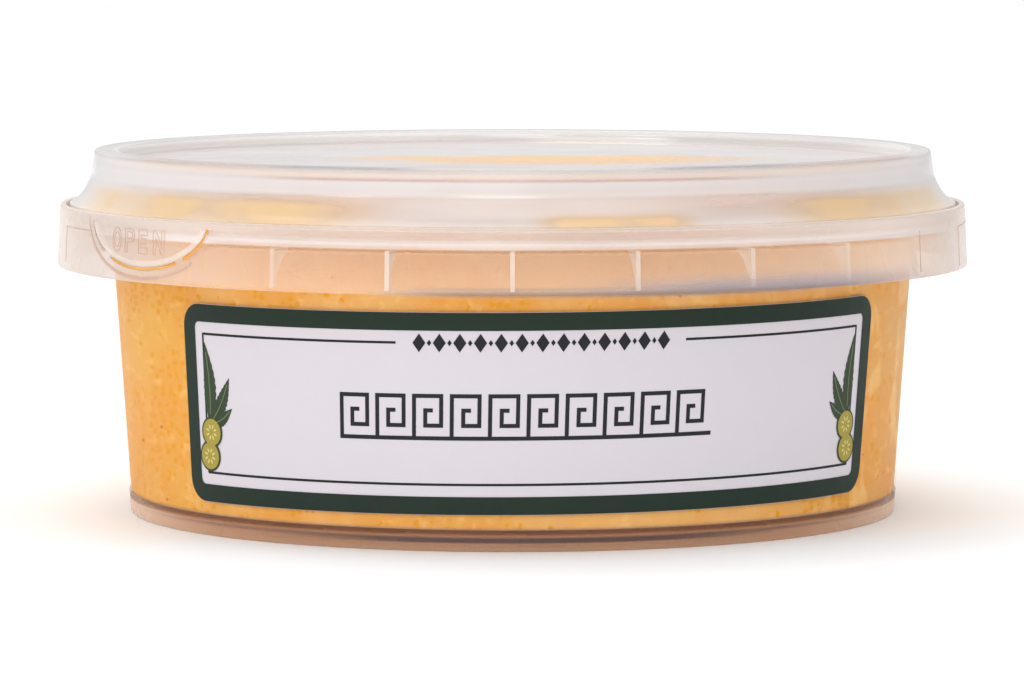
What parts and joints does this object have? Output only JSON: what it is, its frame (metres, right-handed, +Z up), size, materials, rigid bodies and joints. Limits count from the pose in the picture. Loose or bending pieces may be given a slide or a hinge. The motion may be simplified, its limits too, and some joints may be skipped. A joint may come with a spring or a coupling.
{
  "type": "tub of tzatziki dip",
  "caption": "Shut, round, shallow tub of translucent plastic, filled with orange spicy tzatziki dip, with a press-on lid, a tamper skirt with a tear tab, and a paper label without words.",
  "frame": {"origin": "centre of the foot ring, on the surface that the tub stands on", "axes": "+Z up along the tub's axis; -Y is the front, where the label is; +X is to the right of someone facing the label"},
  "size_m": [0.118, 0.118, 0.0469],
  "materials": {
    "tub_plastic": "thin milky polypropylene, translucent, satin",
    "lid_plastic": "thin hazy polypropylene, translucent, soft gloss",
    "dip": "moist creamy orange dip with fine specks and grated flecks",
    "label_paper": "satin coated paper with a printed dark green border"
  },
  "bodies": {
    "root": {"tub": "tub_plastic", "lid": "lid_plastic", "dip": "dip", "label": "label_paper"}
  },
  "joints": []
}
